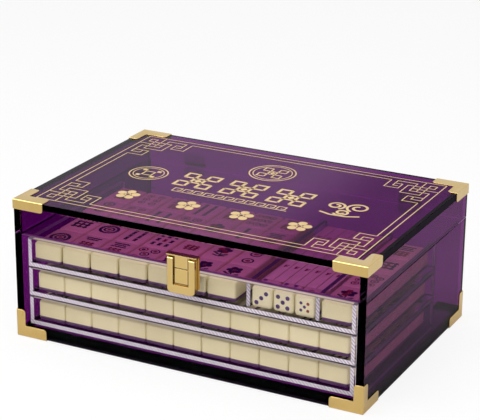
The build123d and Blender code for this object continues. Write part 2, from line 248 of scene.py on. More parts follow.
def solidLook(name, look):
    material, tree = newTree(name)
    scale, stretch = look["scale"], look.get("stretch", (1, 1, 1))
    if look.get("hatch"):
        drift = hatchOf(tree, scale)
    elif look.get("across"):
        drift = acrossOf(tree, *look["across"])
    else:
        drift = noiseOf(tree, scale, solidMake["driftDetail"], stretch)
    stops = look.get("stops") or list(zip(driftStops, look["colours"]))
    low, high = look["roughness"]
    polish = noiseOf(tree, scale * solidMake["polishFiner"], stretch=stretch)
    fine = noiseOf(tree, look.get("bumpScale", solidMake["bumpScale"]), stretch=stretch)
    shader = addNode(tree, "ShaderNodeBsdfPrincipled", {
        "Base Color": rampOf(tree, drift, stops),
        "Roughness": ranged(tree, polish, {"To Min": low, "To Max": high}),
        "Normal": bumpOf(tree, fine, look["bump"], solidMake["bumpDepth"]),
        "Metallic": look.get("metal", 0.0),
        "Specular IOR Level": look.get("shine", 0.5),
        "Coat Weight": look.get("coat", 0.0),
    })
    addNode(tree, "ShaderNodeOutputMaterial", {"Surface": shader.outputs["BSDF"]})
    return material


gold = solidLook("gold_plate", {
    "colours": ((0.53, 0.37, 0.13), (0.62, 0.44, 0.17)), "scale": 25.0,
    "roughness": (0.16, 0.28), "metal": 1.0, "bump": 0.06, "stretch": (1, 1, 0.15),
})
fastenerGold = solidLook("fastener_gold", {
    "colours": ((0.6, 0.42, 0.19), (0.7, 0.5, 0.24)), "scale": 60.0,
    "roughness": (0.28, 0.4), "metal": 1.0, "bump": 0.06,
})
foil = solidLook("gold_print", {
    "colours": ((0.56, 0.40, 0.17), (0.68, 0.49, 0.22)), "scale": 60.0,
    "roughness": (0.35, 0.5), "metal": 0.4, "bump": 0.08,
})
ivory = solidLook("ivory_resin", {
    "colours": ((0.7, 0.63, 0.36), (0.76, 0.685, 0.41)), "scale": 16.0,
    "roughness": (0.3, 0.42), "bump": 0.05, "stretch": (1, 1, 2),
})
tileBack = solidLook("tile_back_resin", {
    "colours": ((0.09, 0.032, 0.105), (0.125, 0.045, 0.14)), "scale": 20.0,
    "roughness": (0.3, 0.42), "bump": 0.05,
})
diceResin = solidLook("dice_resin", {
    "colours": ((0.72, 0.65, 0.40), (0.78, 0.71, 0.45)), "scale": 40.0,
    "roughness": (0.2, 0.3), "bump": 0.03, "coat": 0.3,
})
stickPlastic = solidLook("stick_plastic", {
    "colours": ((0.7, 0.66, 0.42), (0.77, 0.73, 0.48)), "scale": 30.0,
    "roughness": (0.3, 0.45), "bump": 0.05, "stretch": (1, 0.2, 1),
})
inkLook = {"scale": 90.0, "roughness": (0.35, 0.5), "bump": 0.1}
darkInk = solidLook("dark_ink", dict(
    inkLook, colours=((0.012, 0.008, 0.03), (0.02, 0.014, 0.05))))
redInk = solidLook("red_ink", dict(inkLook, colours=((0.22, 0.02, 0.02), (0.3, 0.03, 0.03))))
greenInk = solidLook("green_ink", dict(
    inkLook, colours=((0.01, 0.05, 0.03), (0.016, 0.08, 0.045))))
pipInk = solidLook("pip_ink", dict(
    inkLook, colours=((0.045, 0.015, 0.1), (0.07, 0.025, 0.14)), roughness=(0.25, 0.4)))
# Painted shade in the latch's recess
latchShade = solidLook("gold_recess", dict(
    inkLook, colours=((0.05, 0.025, 0.008), (0.09, 0.045, 0.015)), roughness=(0.4, 0.55)))

# Cut edges of the sheets, two of them in one tone at the front of the rim and another behind; the
# cut rim's dark back is painted shade under the tray above

rimLook = {"scale": 180.0, "roughness": (0.4, 0.6), "bump": 0.3, "bumpScale": 700.0}
frontWall = (-0.1156, -0.1101)  # front and back of the trays' front walls, in metres
sawnEdge = solidLook("sawn_edge", dict(
    rimLook, scale=170.0, hatch=True, roughness=(0.5, 0.7),
    stops=[(0.35, (0.34, 0.31, 0.345)), (0.62, (0.68, 0.615, 0.67))]))
# the cut rim: pale at the front, with a dark back that is painted shade
cutRimShaded = solidLook("cut_rim", dict(rimLook, across=frontWall, stops=[
    (0.0, (0.6, 0.53, 0.5)), (0.34, (0.6, 0.53, 0.5)),
    (0.42, (0.03, 0.022, 0.02)), (1.0, (0.05, 0.036, 0.03))]))
creamRim = solidLook("cream_rim", dict(rimLook, across=frontWall, stops=[
    (0.0, (0.3, 0.27, 0.25)), (0.24, (0.3, 0.27, 0.25)),
    (0.34, (0.72, 0.65, 0.48)), (1.0, (0.66, 0.59, 0.44))]))
# Painted highlight: a violet line on the clear front panel's top face, for the bright seam under
# the purple lid
paintedSeamHighlight = solidLook("violet_rim", dict(
    rimLook, colours=((0.12, 0.04, 0.12), (0.19, 0.065, 0.18)), scale=60.0))
# frosted edges, darkened as painted shade inside the case
frostedRimShaded = solidLook("frosted_rim", dict(
    rimLook, colours=((0.13, 0.11, 0.13), (0.19, 0.16, 0.19))))
shadedRim = solidLook("shaded_rim", dict(
    rimLook, colours=((0.06, 0.05, 0.08), (0.1, 0.085, 0.12))))
# Painted shade: near-black opaque faces on the sheets where they sit in shade
paintedShadeEdge = solidLook("dark_edge", {
    "colours": ((0.004, 0.0015, 0.005), (0.007, 0.003, 0.009)), "scale": 60.0,
    "roughness": (0.5, 0.7), "shine": 0.02, "bump": 0.05,
})
print("materials ready")

# Pieces

meshCare = {"weld": 2e-6, "thinnest": 1e-6, "flat": 0.5, "sharp": 50}  # metres, then degrees


def finishPiece(name, bm, look, smooth=15):  # look: its body, its slot (not used), its materials and what it replaces
    mesh = bpy.data.meshes.new(name)
    bm.to_mesh(mesh)
    bm.free()
    for material in look["materials"]:
        mesh.materials.append(material)
    for polygon in mesh.polygons:
        polygon.use_smooth = True
    mesh.set_sharp_from_angle(angle=math.radians(smooth))
    piece = bpy.data.objects.new(name, mesh)
    collection.objects.link(piece)
    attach(piece, look["body"])
    if look.get("replaces"):
        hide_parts(*look["replaces"])


def easeEdges(bm, edges, width, segments):
    bmesh.ops.bevel(
        bm, geom=edges, offset=width * mm, offset_type="OFFSET", segments=segments,
        profile=0.5, affect="EDGES", clamp_overlap=True,
    )


def nodeMesh(node):
    bm = bmesh.new()
    bm.from_mesh(nodes[node].data)
    bmesh.ops.remove_doubles(bm, verts=bm.verts, dist=meshCare["weld"])
    return bm


def looseParts(bm):  # the vertices of each separate solid
    left = set(bm.verts)
    found = []
    while left:
        stack = [left.pop()]
        part = set(stack)
        while stack:
            for edge in stack.pop().link_edges:
                fresh = [vert for vert in edge.verts if vert in left]
                left.difference_update(fresh)
                part.update(fresh)
                stack.extend(fresh)
        found.append(part)
    return found


def boxOf(verts):
    points = [vert.co for vert in verts]
    low = Vector([min(point[axis] for point in points) for axis in range(3)])
    high = Vector([max(point[axis] for point in points) for axis in range(3)])
    return low, high


def solidBoxes(node):  # the box of each solid of a node, front row first, from left to right
    bm = nodeMesh(node)
    boxes = [boxOf(part) for part in looseParts(bm)]
    bm.free()
    return sorted(boxes, key=lambda box: [round(box[0][axis], 4) for axis in (1, 0, 2)])


def shrinkPart(part, gap):  # each solid a little smaller, so that sheets don't touch
    low, high = boxOf(part)
    middle = (low + high) / 2
    for vert in part:
        for axis in range(3):
            size = max(high[axis] - low[axis], meshCare["thinnest"])
            off = vert.co[axis] - middle[axis]
            vert.co[axis] = middle[axis] + off * (1 - 2 * gap * mm / size)


def easedPiece(node, suffix, slotName, materials, width, segments=2, gap=0.0, pick=None):
    bm = nodeMesh(node)
    flat, sharp = math.radians(meshCare["flat"]), math.radians(meshCare["sharp"])
    bmesh.ops.dissolve_limit(bm, angle_limit=flat, verts=bm.verts, edges=bm.edges)
    corners = [edge for edge in bm.edges if edge.is_manifold and edge.calc_face_angle(0) > sharp]
    easeEdges(bm, corners, width, segments)
    for part in looseParts(bm) if gap else []:
        shrinkPart(part, gap)
    for face in bm.faces if pick else []:
        face.material_index = pick(face)
    finishPiece(node + suffix, bm, {
        "body": bodyOf[node], "slot": slotName, "materials": materials, "replaces": [node],
    })


# Acrylic shell

shellSheets = {
    "edge": 0.45, "gap": 0.02, "footing": 1.6, "seam": 107.1, "seamReach": 1.0, "slope": 0.2,
    "finishes": {
        "base_left_panel": baseLeftShadedAcrylic, "base_right_panel": rightLitAcrylic,
        "base_back_panel": backAcrylic, "bottom_panel": purpleAcrylic,
        "lid_top_panel": topAcrylic, "lid_left_wall": leftShadedAcrylic,
        "lid_right_wall": rightLitAcrylic, "lid_front_wall": frontLitAcrylic,
        "lid_back_wall": backAcrylic, "base_front_panel": endedAcrylic,
    },
}
sheetFace, paintedShadeFace, seamHighlightFace = range(3)  # places in a shell sheet's list of materials


def shellFaces(node):  # faces painted as shade, near-black: the feet, the top panel's right edge and the eased edges at the seam on the right; and a painted violet highlight on the clear front panel's top face under the lid
    footing, seam, seamReach = (shellSheets[key] * mm for key in ("footing", "seam", "seamReach"))
    slope = shellSheets["slope"]
    rightSide = node in ("base_right_panel", "lid_right_wall")

    def pick(face):
        height, normal = face.calc_center_median().z, face.normal
        if node == "base_front_panel" and normal.z > squarely:
            return seamHighlightFace
        if height < footing and (node != "bottom_panel" or abs(normal.z) < squarely):
            return paintedShadeFace
        if node == "lid_top_panel" and normal.x > squarely:
            return paintedShadeFace
        eased = slope < abs(normal.z) < squarely and normal.x > slope  # between two faces
        atSeam = abs(height - seam) < seamReach
        return paintedShadeFace if rightSide and atSeam and eased else sheetFace

    return pick


for node, sheet in shellSheets["finishes"].items():
    kind = "clear_acrylic" if node == "base_front_panel" else "purple_acrylic"
    easedPiece(
        node, "_polished", kind, [sheet, paintedShadeEdge, paintedSeamHighlight], shellSheets["edge"],
        gap=shellSheets["gap"], pick=shellFaces(node),
    )
print("shell ready")

# Trays, clear with sawn front edges

trayMake = {
    "edge": 0.3, "gap": 0.02, "sawnDepth": 0.4,
    "inner": ("left_wall", "right_wall", "back_wall"), "plain": ("back_wall", "pads"),
    "rims": [sawnEdge, cutRimShaded, shadedRim, creamRim, frostedRimShaded],
}
clearFace, sawnFace, cutShadedFace, shadedFace, creamFace, frostedShadedFace = range(6)


def trayFaces(node, sheet):
    low, high = boxOf(nodes[node].data.vertices)
    depth = trayMake["sawnDepth"] * mm
    sideWall = sheet in ("left_wall", "right_wall")

    def pick(face):
        middle, normal = face.calc_center_median(), face.normal
        upper = middle.z > high.z - depth and normal.z > mostly
        if sheet == "front_wall":
            return clearFace if not upper else creamFace if "upper" in node else cutShadedFace
        if "divider" in sheet and upper:
            return shadedFace
        if (sideWall and upper) or (sheet == "floor" and abs(normal.x) > mostly):
            return frostedShadedFace
        behind = sideWall and middle.y > high.y - depth and normal.y > mostly
        ahead = middle.y < low.y + depth and normal.y < -mostly
        return sawnFace if behind or ahead else clearFace

    return pick


for tray in trayNames:
    sheets = ["floor", "left_wall", "right_wall", "front_wall", "back_wall", "pads"]
    if tray == "upper_tray":
        sheets += ["divider_one", "divider_two"]
    for sheet in sheets:
        node = tray + "_" + sheet
        clear = endedAcrylic if sheet == "front_wall" else clearAcrylic
        if sheet in trayMake["inner"]:
            clear = innerAcrylic
        plain = sheet in trayMake["plain"]
        easedPiece(
            node, "_polished", "clear_acrylic", [clear] + ([] if plain else trayMake["rims"]),
            trayMake["edge"], gap=trayMake["gap"],
            pick=None if plain else trayFaces(node, sheet),
        )
print("trays ready")

# Gold fittings

goldFittings = {
    "edge": 0.32, "segments": 3, "fastenerEdge": 0.15,
    "latch": ("latch_frame", "latch_catch_plate", "latch_cap_plate"),
    "fasteners": ("latch_catch_screws", "latch_cap_screws", "latch_pin", "hinge_pins"),
}
for node in nodes:
    if "corner" in node or node in goldFittings["latch"]:
        easedPiece(
            node, "_plated", "gold_metal", [gold], goldFittings["edge"], goldFittings["segments"])
for node in goldFittings["fasteners"]:
    easedPiece(node, "_plated", "fastener_metal", [fastenerGold], goldFittings["fastenerEdge"])

# Painted shade: dark lines round the latch's blocks, for the shade in the recess and at the seam,
# in two halves that part at the seam

latchShadeOutline = {
    "left": -5.3, "right": 9.9, "front": -4.5, "line": 0.9, "seamLine": 0.54, "lift": 0.02,
    "low": (91.9, 106.8), "high": (107.4, 119.5),
}


def latchShadeStrip(bm, x0, x1, z0, z1):
    y = latchShadeOutline["front"] - latchShadeOutline["lift"]
    corners = ((x0, z0), (x1, z0), (x1, z1), (x0, z1))
    bm.faces.new([bm.verts.new(at(x, y, z)) for x, z in corners])


def shadeOutlineHalf(half, body, lowLine):
    bm = bmesh.new()
    left, right, line = (latchShadeOutline[key] for key in ("left", "right", "line"))
    low, high = latchShadeOutline[half]
    latchShadeStrip(bm, right - line, right, low, high)
    latchShadeStrip(bm, left, left + line, low, high)
    latchShadeStrip(bm, left, right, low, low + lowLine)
    finishPiece("latch_outline_" + half, bm, {
        "body": body, "slot": "gold_metal", "materials": [latchShade]})


shadeOutlineHalf("low", "base", latchShadeOutline["line"])
shadeOutlineHalf("high", "lid", latchShadeOutline["seamLine"])

# Hinges of the case's own acrylic with clear screws

hingeEdges = {"leaf": 0.2, "screws": 0.15}
for side in ("left", "right"):
    for half in ("base", "lid"):
        easedPiece(
            "hinge_%s_leaf_%s" % (half, side), "_polished", "purple_acrylic", [leafAcrylic],
            hingeEdges["leaf"])
for half in ("base", "lid"):
    easedPiece(
        "hinge_%s_screws" % half, "_moulded", "clear_acrylic", [innerAcrylic],
        hingeEdges["screws"])
print("fittings ready")

# Flat outlines


def disc(x, y, radius, sides=14):
    turns = [2 * math.pi * k / sides for k in range(sides)]
    return [(x + radius * math.cos(a), y + radius * math.sin(a)) for a in turns]


def ring(x, y, outer, inner, sides=18):  # a flat ring in four-sided pieces
    out, into = disc(x, y, outer, sides), disc(x, y, inner, sides)
    following = [(k, (k + 1) % sides) for k in range(sides)]
    return [[out[k], out[j], into[j], into[k]] for k, j in following]


def bar(x, y, width, height, turn=0.0):
    w, h = width / 2, height / 2
    c, s = math.cos(turn), math.sin(turn)
    return [(x + a * c - b * s, y + a * s + b * c) for a, b in ((-w, -h), (w, -h), (w, h), (-w, h))]


# Marks of the tiles, in millimetres from the middle of the face; the number picks the kind

dark, red, green = range(3)
inks = [darkInk, redInk, greenInk]
spots = {
    1: [(0, 0)], 2: [(0, 9), (0, -9)], 3: [(-6.5, 10), (0, 0), (6.5, -10)],
    4: [(-6, 9), (6, 9), (-6, -9), (6, -9)],
    5: [(-6.5, 10), (6.5, 10), (0, 0), (-6.5, -10), (6.5, -10)],
    6: [(-6, 10), (6, 10), (-6, 0), (6, 0), (-6, -10), (6, -10)],
    7: [(-7, 12), (0, 9), (7, 6), (-5, -2), (5, -2), (-5, -11), (5, -11)],
    8: [(x, y) for y in (12, 4, -4, -12) for x in (-5, 5)],
    9: [(x, y) for y in (11, 0, -11) for x in (-7.5, 0, 7.5)],
}
wheel = {
    "radii": (10.8, 6.2, 5.0, 5.0, 5.0, 4.0, 4.0, 4.0, 4.0),  # by the number of wheels
    "rim": 0.7, "hub": 0.42, "loneHub": 0.2, "loneRing": (0.56, 0.34),
}
cane = {
    "heights": (12.0, 12.0, 12.0, 9.5, 9.5, 9.5, 7.2, 7.2, 7.2),
    "width": 3.8, "waist": 2.2, "apart": 0.27, "reach": 0.44, "waistReach": 0.3,
}
stroke = {"top": 12.6, "apart": 4.0, "length": 17.0, "shorter": 4.0, "thick": 2.4}
weave = {
    "middle": -4.5, "lowered": -6.0,  # lowered under three strokes
    "apart": 4.2, "length": 16.0, "shorter": 2.0, "thick": 2.1, "upApart": 5.0, "upLength": 13.0,
}
flower = {
    "middle": 4.5, "petalReach": 4.9, "petal": 3.3, "heart": 1.9, "turn": 0.5, "sides": 10,
    "stem": (0.6, -6.5, 1.6, 11.5, 0.12),  # x, y, width, height, turn
    "leaves": ((4.6, -6.5, 8.5, 2.6, 0.6), (3.6, -10.0, 6.5, 2.0, 0.3)), "leafRise": 1.0,
}
woven = {"acrossApart": 6.6, "upApart": 6.4, "length": 18, "thick": 2.6}
plainFrame = {"half": (9.1, 13), "length": (20, 26), "thick": 1.8}


def wheelMarks(count):  # wheels, one large or several small
    marks = []
    radius = wheel["radii"][count - 1]
    for index, (x, y) in enumerate(spots[count]):
        ink = red if count > 2 and index % 3 == 0 else dark
        marks += [(ink, piece) for piece in ring(x, y, radius, radius * wheel["rim"])]
        hub = wheel["loneHub"] if count == 1 else wheel["hub"]
        marks.append((dark if ink == red else red, disc(x, y, radius * hub)))
    if count == 1:
        outer, inner = (radius * share for share in wheel["loneRing"])
        marks += [(dark, piece) for piece in ring(0, 0, outer, inner)]
    return marks


def caneMarks(count):  # short bars with a waist
    marks = []
    height = cane["heights"][count - 1]
    for index, (x, y) in enumerate(spots[count]):
        ink = dark if index % 2 else green
        if count in (5, 7, 9) and index == count // 2:
            ink = red
        for side in (-1, 1):
            end = y + side * height * cane["apart"]
            marks.append((ink, bar(x, end, cane["width"], height * cane["reach"])))
        marks.append((ink, bar(x, y, cane["waist"], height * cane["waistReach"])))
    return marks


def strokeMarks(count):  # level bars over a small woven block
    marks = []
    for k in range(min(count, 3)):
        length = stroke["length"] - stroke["shorter"] * (k % 2)
        marks.append((dark, bar(0, stroke["top"] - stroke["apart"] * k, length, stroke["thick"])))
    low = weave["middle"] if count < 3 else weave["lowered"]
    for k in (-1, 0, 1):
        length = weave["length"] - weave["shorter"] * abs(k)
        marks.append((red, bar(0, low + weave["apart"] * k, length, weave["thick"])))
        marks.append((red, bar(weave["upApart"] * k, low, weave["thick"], weave["upLength"])))
    return marks


def flowerMarks(count):  # a blossom on a stem with leaves
    odd = count % 2
    marks = []
    for k in range(5):
        a = flower["turn"] * count + 2 * math.pi * k / 5
        x, y = (flower["petalReach"] * part for part in (math.cos(a), math.sin(a)))
        petal = disc(x, flower["middle"] + y, flower["petal"], flower["sides"])
        marks.append((red if odd and k % 2 else dark, petal))
    marks.append((red, disc(0, flower["middle"], flower["heart"], flower["sides"])))
    marks.append((green, bar(*flower["stem"])))
    for side in (-1, 1):
        (x, y, *size, turn), (lowX, lowY, *lowSize, lowTurn) = flower["leaves"]
        rise = flower["leafRise"] * (1 - side)
        marks.append((green if odd else dark, bar(side * x, y + rise, *size, side * turn)))
        marks.append((dark, bar(side * lowX, lowY, *lowSize, side * lowTurn)))
    return marks


def knotMarks(count):  # a square of woven bars
    length, thick = woven["length"], woven["thick"]
    marks = []
    for k in (-1, 0, 1):
        marks.append((dark, bar(0, woven["acrossApart"] * k, length, thick)))
        ink = red if k == 0 and count % 2 else dark
        marks.append((ink, bar(woven["upApart"] * k, 0, thick, length)))
    return marks


def frameMarks(count):  # a plain frame
    (x, y), (wide, tall), thick = (plainFrame[key] for key in ("half", "length", "thick"))
    bars = [bar(0, y, wide, thick), bar(0, -y, wide, thick)]
    return [(dark, piece) for piece in bars + [bar(-x, 0, thick, tall), bar(x, 0, thick, tall)]]


# Tiles

tileMake = {"radius": 2.2, "segments": 3, "markLift": 0.03, "smooth": 40}
faceOrder = [(kind, n) for kind in (wheelMarks, strokeMarks, caneMarks) for n in range(1, 10)]
faceOrder += [(flowerMarks, n) for n in range(1, 5)]
faceOrder += [(knotMarks, 1), (knotMarks, 2), (frameMarks, 1)]
frontFaces = [  # the two rows nearest the lid's front wall
    (wheelMarks, 1), (strokeMarks, 2), (strokeMarks, 3), (wheelMarks, 5), (knotMarks, 1),
    (flowerMarks, 2), (flowerMarks, 4), (flowerMarks, 1),
    (knotMarks, 2), (wheelMarks, 1), (caneMarks, 8), (caneMarks, 9), (strokeMarks, 1),
    (flowerMarks, 3), (wheelMarks, 2), (wheelMarks, 7),
]


def roundedBox(bm, low, high, radius, segments):  # a box with rounded edges, added to bm
    made = bmesh.ops.create_cube(bm, size=1.0)["verts"]
    for vert in made:
        for axis in range(3):
            vert.co[axis] = high[axis] if vert.co[axis] > 0 else low[axis]
    edges = list(dict.fromkeys(edge for vert in made for edge in vert.link_edges))
    easeEdges(bm, edges, radius, segments)


def addHalf(target, whole, level, keepTop):  # the part of a whole tile above or below its joint
    half = whole.copy()
    cut = bmesh.ops.bisect_plane(
        half, geom=half.verts[:] + half.edges[:] + half.faces[:], plane_co=(0, 0, level),
        plane_no=(0, 0, 1), clear_inner=keepTop, clear_outer=not keepTop,
    )
    rim = [part for part in cut["geom_cut"] if isinstance(part, bmesh.types.BMEdge)]
    bmesh.ops.contextual_create(half, geom=rim)
    mesh = bpy.data.meshes.new("half")
    half.to_mesh(mesh)
    half.free()
    target.from_mesh(mesh)
    bpy.data.meshes.remove(mesh)


def addMarks(bm, centre, marks):
    for ink, piece in marks:
        places = [(centre.x + x * mm, centre.y + y * mm, centre.z) for x, y in piece]
        bm.faces.new([bm.verts.new(place) for place in places]).material_index = ink


def topMiddle(low, high, lift):
    return Vector(((low.x + high.x) / 2, (low.y + high.y) / 2, high.z + lift * mm))


for tray in trayNames:
    prefix = tray.split("_")[0]
    faceNode, backNode = prefix + "_tile_faces", prefix + "_tile_backs"
    faces, backs, marks = bmesh.new(), bmesh.new(), bmesh.new()
    order = faceOrder * 4
    random.shuffle(order)
    if prefix == "upper":
        order = frontFaces + order
    boxes = zip(solidBoxes(faceNode), solidBoxes(backNode), order)
    for (low, high), (backLow, _), (kind, count) in boxes:
        whole = bmesh.new()
        foot = Vector((low.x, low.y, backLow.z))
        roundedBox(whole, foot, high, tileMake["radius"], tileMake["segments"])
        addHalf(faces, whole, low.z, True)
        addHalf(backs, whole, low.z, False)
        whole.free()
        addMarks(marks, topMiddle(low, high, tileMake["markLift"]), kind(count))
    finishPiece(faceNode + "_moulded", faces, {
        "body": tray, "slot": "ivory_tile", "materials": [ivory], "replaces": [faceNode],
    }, tileMake["smooth"])
    finishPiece(backNode + "_moulded", backs, {
        "body": tray, "slot": "purple_tile", "materials": [tileBack], "replaces": [backNode],
    }, tileMake["smooth"])
    finishPiece(prefix + "_tile_marks", marks, {
        "body": tray, "slot": "ivory_tile", "materials": inks,
    }, tileMake["smooth"])
print("tiles ready")

# Dice

diceMake = {
    "radius": 3.6, "segments": 5, "pip": 2.15, "lonePip": 1.6, "lift": 0.03, "spread": 4.8,
    "sides": 16, "fronts": (3, 5, 5), "tops": (2, 6, 1), "frontSizes": (1.0, 1.0, 0.72),
    "smooth": 40, "materials": [diceResin, pipInk, redInk],
}
pipFace, redPipFace = 1, 2  # places in the dice's list of materials
pipSpots = {
    1: [(0, 0)], 2: [(-1, 1), (1, -1)], 3: [(-1, -1), (0, 0), (1, 1)],
    4: [(-1, -1), (1, -1), (-1, 1), (1, 1)], 5: [(-1, -1), (1, -1), (0, 0), (-1, 1), (1, 1)],
    6: [(-1, -1), (-1, 0), (-1, 1), (1, -1), (1, 0), (1, 1)],
}


def addPips(bm, centre, half, count, across, up, outward, small=1.0):
    radius = diceMake["pip"] * mm * small * (diceMake["lonePip"] if count == 1 else 1)
    spread, lift = diceMake["spread"] * mm * small, half + diceMake["lift"] * mm
    for u, v in pipSpots[count]:
        middle = centre + across * u * spread + up * v * spread + outward * lift
        rim = [bm.verts.new(middle + across * x + up * y)
               for x, y in disc(0, 0, radius, diceMake["sides"])]
        redPip = count == 1 or (small < 1 and u > 0)
        bm.faces.new(rim).material_index = redPipFace if redPip else pipFace


dice = bmesh.new()
x, y, z = Vector((1, 0, 0)), Vector((0, 1, 0)), Vector((0, 0, 1))
for index, (low, high) in enumerate(solidBoxes("dice")):
    roundedBox(dice, low, high, diceMake["radius"], diceMake["segments"])
    centre, half = (low + high) / 2, (high.z - low.z) / 2
    front, top = diceMake["fronts"][index], diceMake["tops"][index]
    side = next(n for n in (1, 2, 3) if n not in (front, top, 7 - front, 7 - top))
    addPips(dice, centre, half, front, x, z, -y, diceMake["frontSizes"][index])
    addPips(dice, centre, half, 7 - front, -x, z, y)
    addPips(dice, centre, half, top, x, y, z)
    addPips(dice, centre, half, 7 - top, x, -y, -z)
    addPips(dice, centre, half, side, y, z, x)
    addPips(dice, centre, half, 7 - side, -y, z, -x)
finishPiece("dice_moulded", dice, {
    "body": "upper_tray", "slot": "ivory_dice", "materials": diceMake["materials"],
    "replaces": ["dice"],
}, diceMake["smooth"])
print("dice ready")

# Counting sticks, with a small mark on those at the top

stickMake = {
    "radius": 0.8, "segments": 2, "lift": 0.02, "layer": 0.5, "smooth": 40,
    "marks": [(0, 2, 1.9, 6.0), (1.2, 4.2, 4.2, 1.5), (1.2, 1.2, 3.6, 1.3)],
    "materials": [stickPlastic, redInk],
}
stickInk = 1  # its place in the sticks' list of materials
sticks = bmesh.new()
stickBoxes = solidBoxes("counting_sticks")
for low, high in stickBoxes:
    roundedBox(sticks, low, high, stickMake["radius"], stickMake["segments"])
topLevel = max(high.z for low, high in stickBoxes)
for low, high in stickBoxes:
    if high.z >= topLevel - stickMake["layer"] * mm:
        marks = [(stickInk, bar(*mark)) for mark in stickMake["marks"]]
        addMarks(sticks, topMiddle(low, high, stickMake["lift"]), marks)
finishPiece("counting_sticks_moulded", sticks, {
    "body": "upper_tray", "slot": "stick_plastic", "materials": stickMake["materials"],
    "replaces": ["counting_sticks"],
}, stickMake["smooth"])
print("sticks ready")

# Gold print on the lid: flat lines and patches, a little thick

printLayout = {
    "low": 141.52, "high": 141.56, "line": 1.05, "mitre": 0.3, "smooth": 30,
    "half": 167.8, "front": 16.2, "back": 234.3, "stepX": 6.9, "stepY": 7.4, "corner": 8,
}
fretRuns = [  # steps of the corner fret, counted in from the border's outer corner
    [(8, 1), (8, 3.8), (5.85, 3.8), (5.85, 2.05), (7, 2.05)],
    [(6.2, 2.95), (7, 2.95), (7, 1), (4, 1), (4, 4), (1, 4), (1, 7), (2.45, 7), (2.45, 6)],
    [(1, 8), (3.4, 8), (3.4, 6), (1, 6)],
    [(3, 0), (3, 4)],
    [(0, 3), (4, 3)],
]
fretLoop = [(5, 5.1), (2, 5.1), (2, 1), (1, 1), (1, 2.05), (5, 2.05)]


def ribbon(bm, points, width, closed=False):  # a line of even width with mitred corners
    low, high = printLayout["low"], printLayout["high"]
    count = len(points)
    rings = []
    for index, point in enumerate(points):
        here = Vector(point)
        into = outof = None
        if index or closed:
            into = (here - Vector(points[index - 1])).normalized()
        if index < count - 1 or closed:
            outof = (Vector(points[(index + 1) % count]) - here).normalized()
        into, outof = into or outof, outof or into
        normal = Vector((-into.y - outof.y, into.x + outof.x))
        reach = normal * width / max(normal.length_squared, printLayout["mitre"])
        a, b = here + reach, here - reach
        corners = ((a, low), (b, low), (b, high), (a, high))
        rings.append([bm.verts.new(at(place.x, place.y, z)) for place, z in corners])
    for index in range(count if closed else count - 1):
        one, two = rings[index], rings[(index + 1) % count]
        for k, j in ((0, 1), (1, 2), (2, 3), (3, 0)):
            bm.faces.new((one[k], two[k], two[j], one[j]))
    if not closed:
        bm.faces.new(rings[0])
        bm.faces.new(rings[-1][::-1])


def patch(bm, shape):  # a filled shape
    top = [bm.verts.new(at(x, y, printLayout["high"])) for x, y in shape]
    bottom = [bm.verts.new(at(x, y, printLayout["low"])) for x, y in shape]
    bm.faces.new(top)
    bm.faces.new(bottom[::-1])
    for k in range(len(shape)):
        j = (k + 1) % len(shape)
        bm.faces.new((bottom[k], bottom[j], top[j], top[k]))


border = bmesh.new()
half, front, back, stepX, stepY, line, corner = (
    printLayout[key] for key in ("half", "front", "back", "stepX", "stepY", "line", "corner"))
ribbon(border, [(-half, front), (half, front), (half, back), (-half, back)], line, True)
for x in (stepX - half, half - stepX):
    ribbon(border, [(x, front + corner * stepY), (x, back - corner * stepY)], line)
for y in (front + stepY, back - stepY):
    ribbon(border, [(-half + corner * stepX, y), (half - corner * stepX, y)], line)
for sideX in (-1, 1):
    for sideY, start in ((1, front), (-1, back)):
        for run in fretRuns + [fretLoop]:
            places = [(sideX * (half - u * stepX), start + sideY * v * stepY) for u, v in run]
            ribbon(border, places, line, run is fretLoop)
finishPiece("lid_border_print", border, {
    "body": "lid", "slot": "gold_metal", "materials": [foil],
}, printLayout["smooth"])
print("border ready")

# Motifs of the lid; each has its place, its size and the width of its lines

motifs = {
    "medallion": {"place": (0, 188), "radius": 23.5, "rings": ((1, 1.4), (0.84, 1.0)),
                  "knot": 1.05, "line": 1.5, "sides": 40},
    "knots": {"places": [(-54, 131), (-3, 131), (48, 131)], "size": 36.0, "line": 3.0,
              "heart": 0.7},
    "coin": {"place": (-109, 129), "radius": 19.5, "rings": ((1, 1.4), (0.8, 0.98)),
             "square": 0.26, "line": 1.4, "leaf": (0.42, 0.58, 0.74, 0.17), "sides": 32},
    "cloud": {"place": (107, 128), "size": 40.0, "line": 2.6, "steps": 25, "inward": 0.72,
              "scrolls": (  # middle, radius, start in half turns, turns
                  (-0.3, 0.1, 0.24, -0.3, 1.45), (0.26, 0.16, 0.3, 3.4, -1.45),
                  (0.0, -0.28, 0.2, 1.2, 1.4)),
              "tail": ((-0.5, -0.42), (-0.2, -0.52), (0.2, -0.5), (0.5, -0.36))},
    "meander": {"place": (-2, 99.5), "length": 128.0, "height": 9.0, "line": 1.2,
                "pitch": 1.25, "hook": (0.72, 0.36), "dip": 0.12},
    "blossoms": {"places": [(-95, 65), (-29, 65), (28, 65), (88, 65)], "radius": 13.0,
                 "reach": 0.6, "petal": 0.34, "heart": 0.2, "line": 0.09, "sides": 14},
}


def rings(bm, look):  # circles about one middle
    for share, line in look["rings"]:
        ribbon(bm, disc(*look["place"], look["radius"] * share, look["sides"]), line, True)


def knot(bm, x, y, size, width):  # a woven square with a loop at each corner
    s, third = size / 2, size / 6
    heart = third * motifs["knots"]["heart"]
    for k in (-third, third):
        ribbon(bm, [(x + k, y - s), (x + k, y + s)], width)
        ribbon(bm, [(x - s, y + k), (x + s, y + k)], width)
    for a, b in ((1, 1), (1, -1), (-1, 1), (-1, -1)):
        loop = ((third, s), (s, s), (s, third))
        ribbon(bm, [(x + a * u, y + b * v) for u, v in loop], width)
    patch(bm, [(x, y - heart), (x + heart, y), (x, y + heart), (x - heart, y)])


